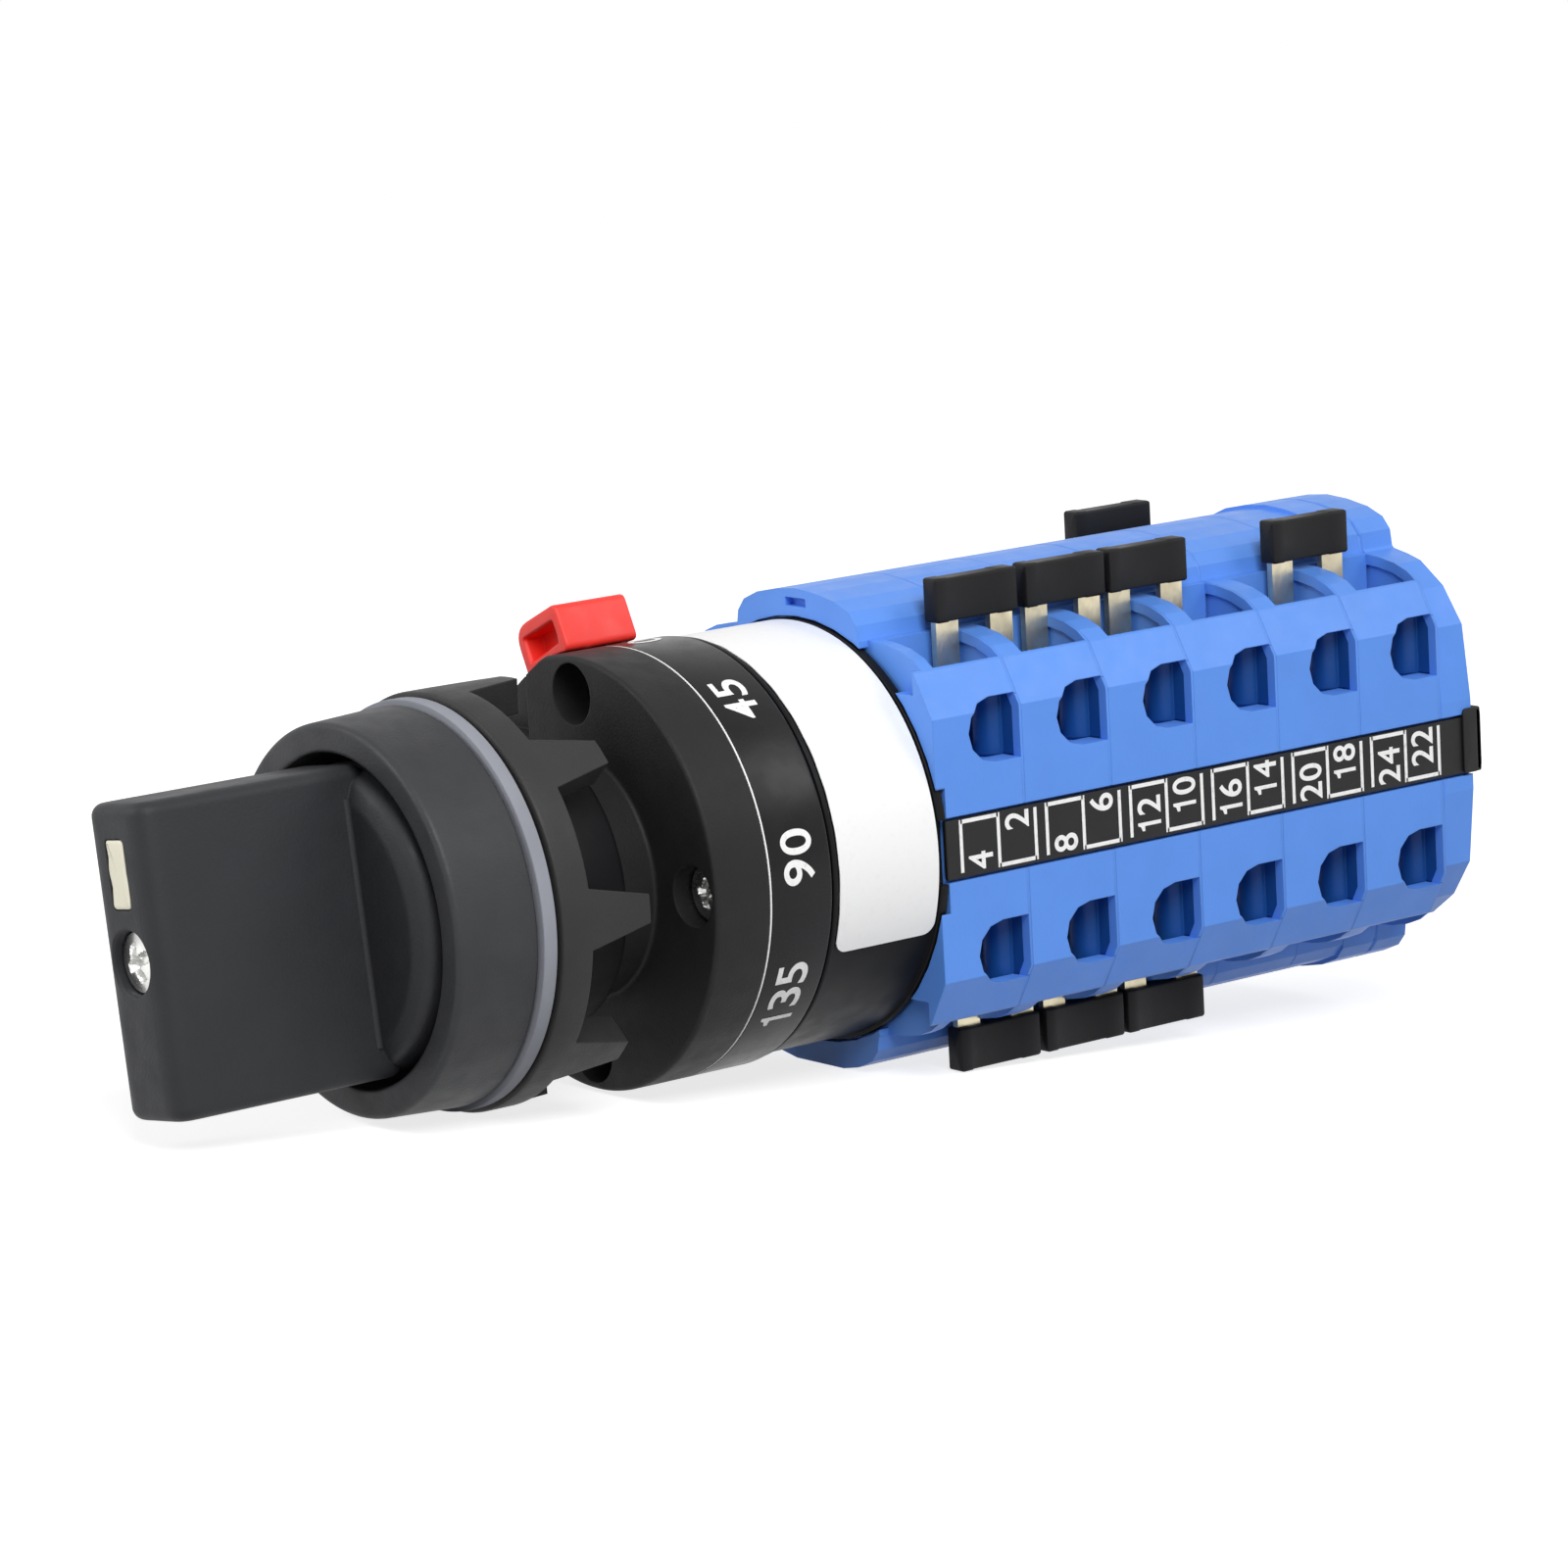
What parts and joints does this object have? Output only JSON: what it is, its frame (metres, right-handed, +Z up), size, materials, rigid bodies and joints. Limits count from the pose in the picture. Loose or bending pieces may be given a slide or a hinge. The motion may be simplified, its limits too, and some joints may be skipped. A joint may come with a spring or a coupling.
{
  "type": "cam switch",
  "caption": "Panel cam switch: blade handle, screw-on collar, numbered dial, red latch and a stack of blue contact decks with wire pockets and push-in links.",
  "frame": {"origin": "on the switch axis, in the plane of the gasket's rear face, where the front of the panel lies", "axes": "+Y along the switch axis to the rear of the panel, away from the handle; +Z up, towards the ridge on top of the contact decks; +X to the right as seen by the user in front of the panel"},
  "size_m": [0.045, 0.1599, 0.0524],
  "materials": {
    "handle_plastic": "fine moulded satin",
    "body_plastic": "moulded satin",
    "dial_plastic": "semi-gloss",
    "gasket_rubber": "dull",
    "cream_insert": "plain",
    "zinc_screw": "zinc plated",
    "red_plastic": "semi-gloss",
    "blue_plastic": "moulded satin",
    "label_paper": "smooth",
    "cam_plastic": "plain",
    "steel": "plain",
    "brass": "bright",
    "sleeve_plastic": "satin",
    "strip_plastic": "satin"
  },
  "bodies": {
    "base": {"bezel": "body_plastic", "gasket": "gasket_rubber", "front_adaptor": "body_plastic", "adaptor_screw_1": "zinc_screw", "adaptor_screw_2": "zinc_screw", "adaptor_screw_3": "zinc_screw", "adaptor_screw_4": "zinc_screw", "dial_ring": "dial_plastic", "mechanism_housing": "dial_plastic", "label": "label_paper", "detent_plunger_1": "steel", "detent_plunger_2": "steel", "detent_spring_1": "steel", "detent_spring_2": "steel", "contact_deck_1": "blue_plastic", "contact_deck_2": "blue_plastic", "contact_deck_3": "blue_plastic", "contact_deck_4": "blue_plastic", "contact_deck_5": "blue_plastic", "contact_deck_6": "blue_plastic", "rear_plate": "blue_plastic", "tie_bolt_1": "zinc_screw", "tie_bolt_2": "zinc_screw", "number_strip_near": "strip_plastic", "number_strip_far": "strip_plastic", "link_top_1_sleeve": "sleeve_plastic", "link_top_1_brass": "brass", "link_top_2_sleeve": "sleeve_plastic", "link_top_2_brass": "brass", "link_top_3_sleeve": "sleeve_plastic", "link_top_3_brass": "brass", "link_top_5_sleeve": "sleeve_plastic", "link_top_5_brass": "brass", "link_bottom_1_sleeve": "sleeve_plastic", "link_bottom_1_brass": "brass", "link_bottom_2_sleeve": "sleeve_plastic", "link_bottom_2_brass": "brass", "link_bottom_3_sleeve": "sleeve_plastic", "link_bottom_3_brass": "brass", "link_far_sleeve": "sleeve_plastic", "link_far_brass": "brass"},
    "rotor": {"handle": "handle_plastic", "handle_pointer": "cream_insert", "handle_screw": "zinc_screw", "shaft": "steel", "detent_wheel": "cam_plastic", "cam_1": "cam_plastic", "cam_2": "cam_plastic", "cam_3": "cam_plastic", "cam_4": "cam_plastic", "cam_5": "cam_plastic", "cam_6": "cam_plastic"},
    "ring_nut": {"ring_nut": "body_plastic"},
    "latch": {"latch": "red_plastic"}
  },
  "joints": [
    {"name": "handle_turn", "type": "hinge", "parent": "base", "child": "rotor", "pos_m": [0, 0, 0], "axis": [0, 1, 0], "range_deg": [0, 135]},
    {"name": "ring_nut_travel", "type": "slide", "parent": "base", "child": "ring_nut", "axis": [0, 1, 0], "range_m": [0, 0.006]},
    {"name": "latch_slide", "type": "slide", "parent": "base", "child": "latch", "axis": [0, -1, 0], "range_m": [0, 0.0034]}
  ]
}
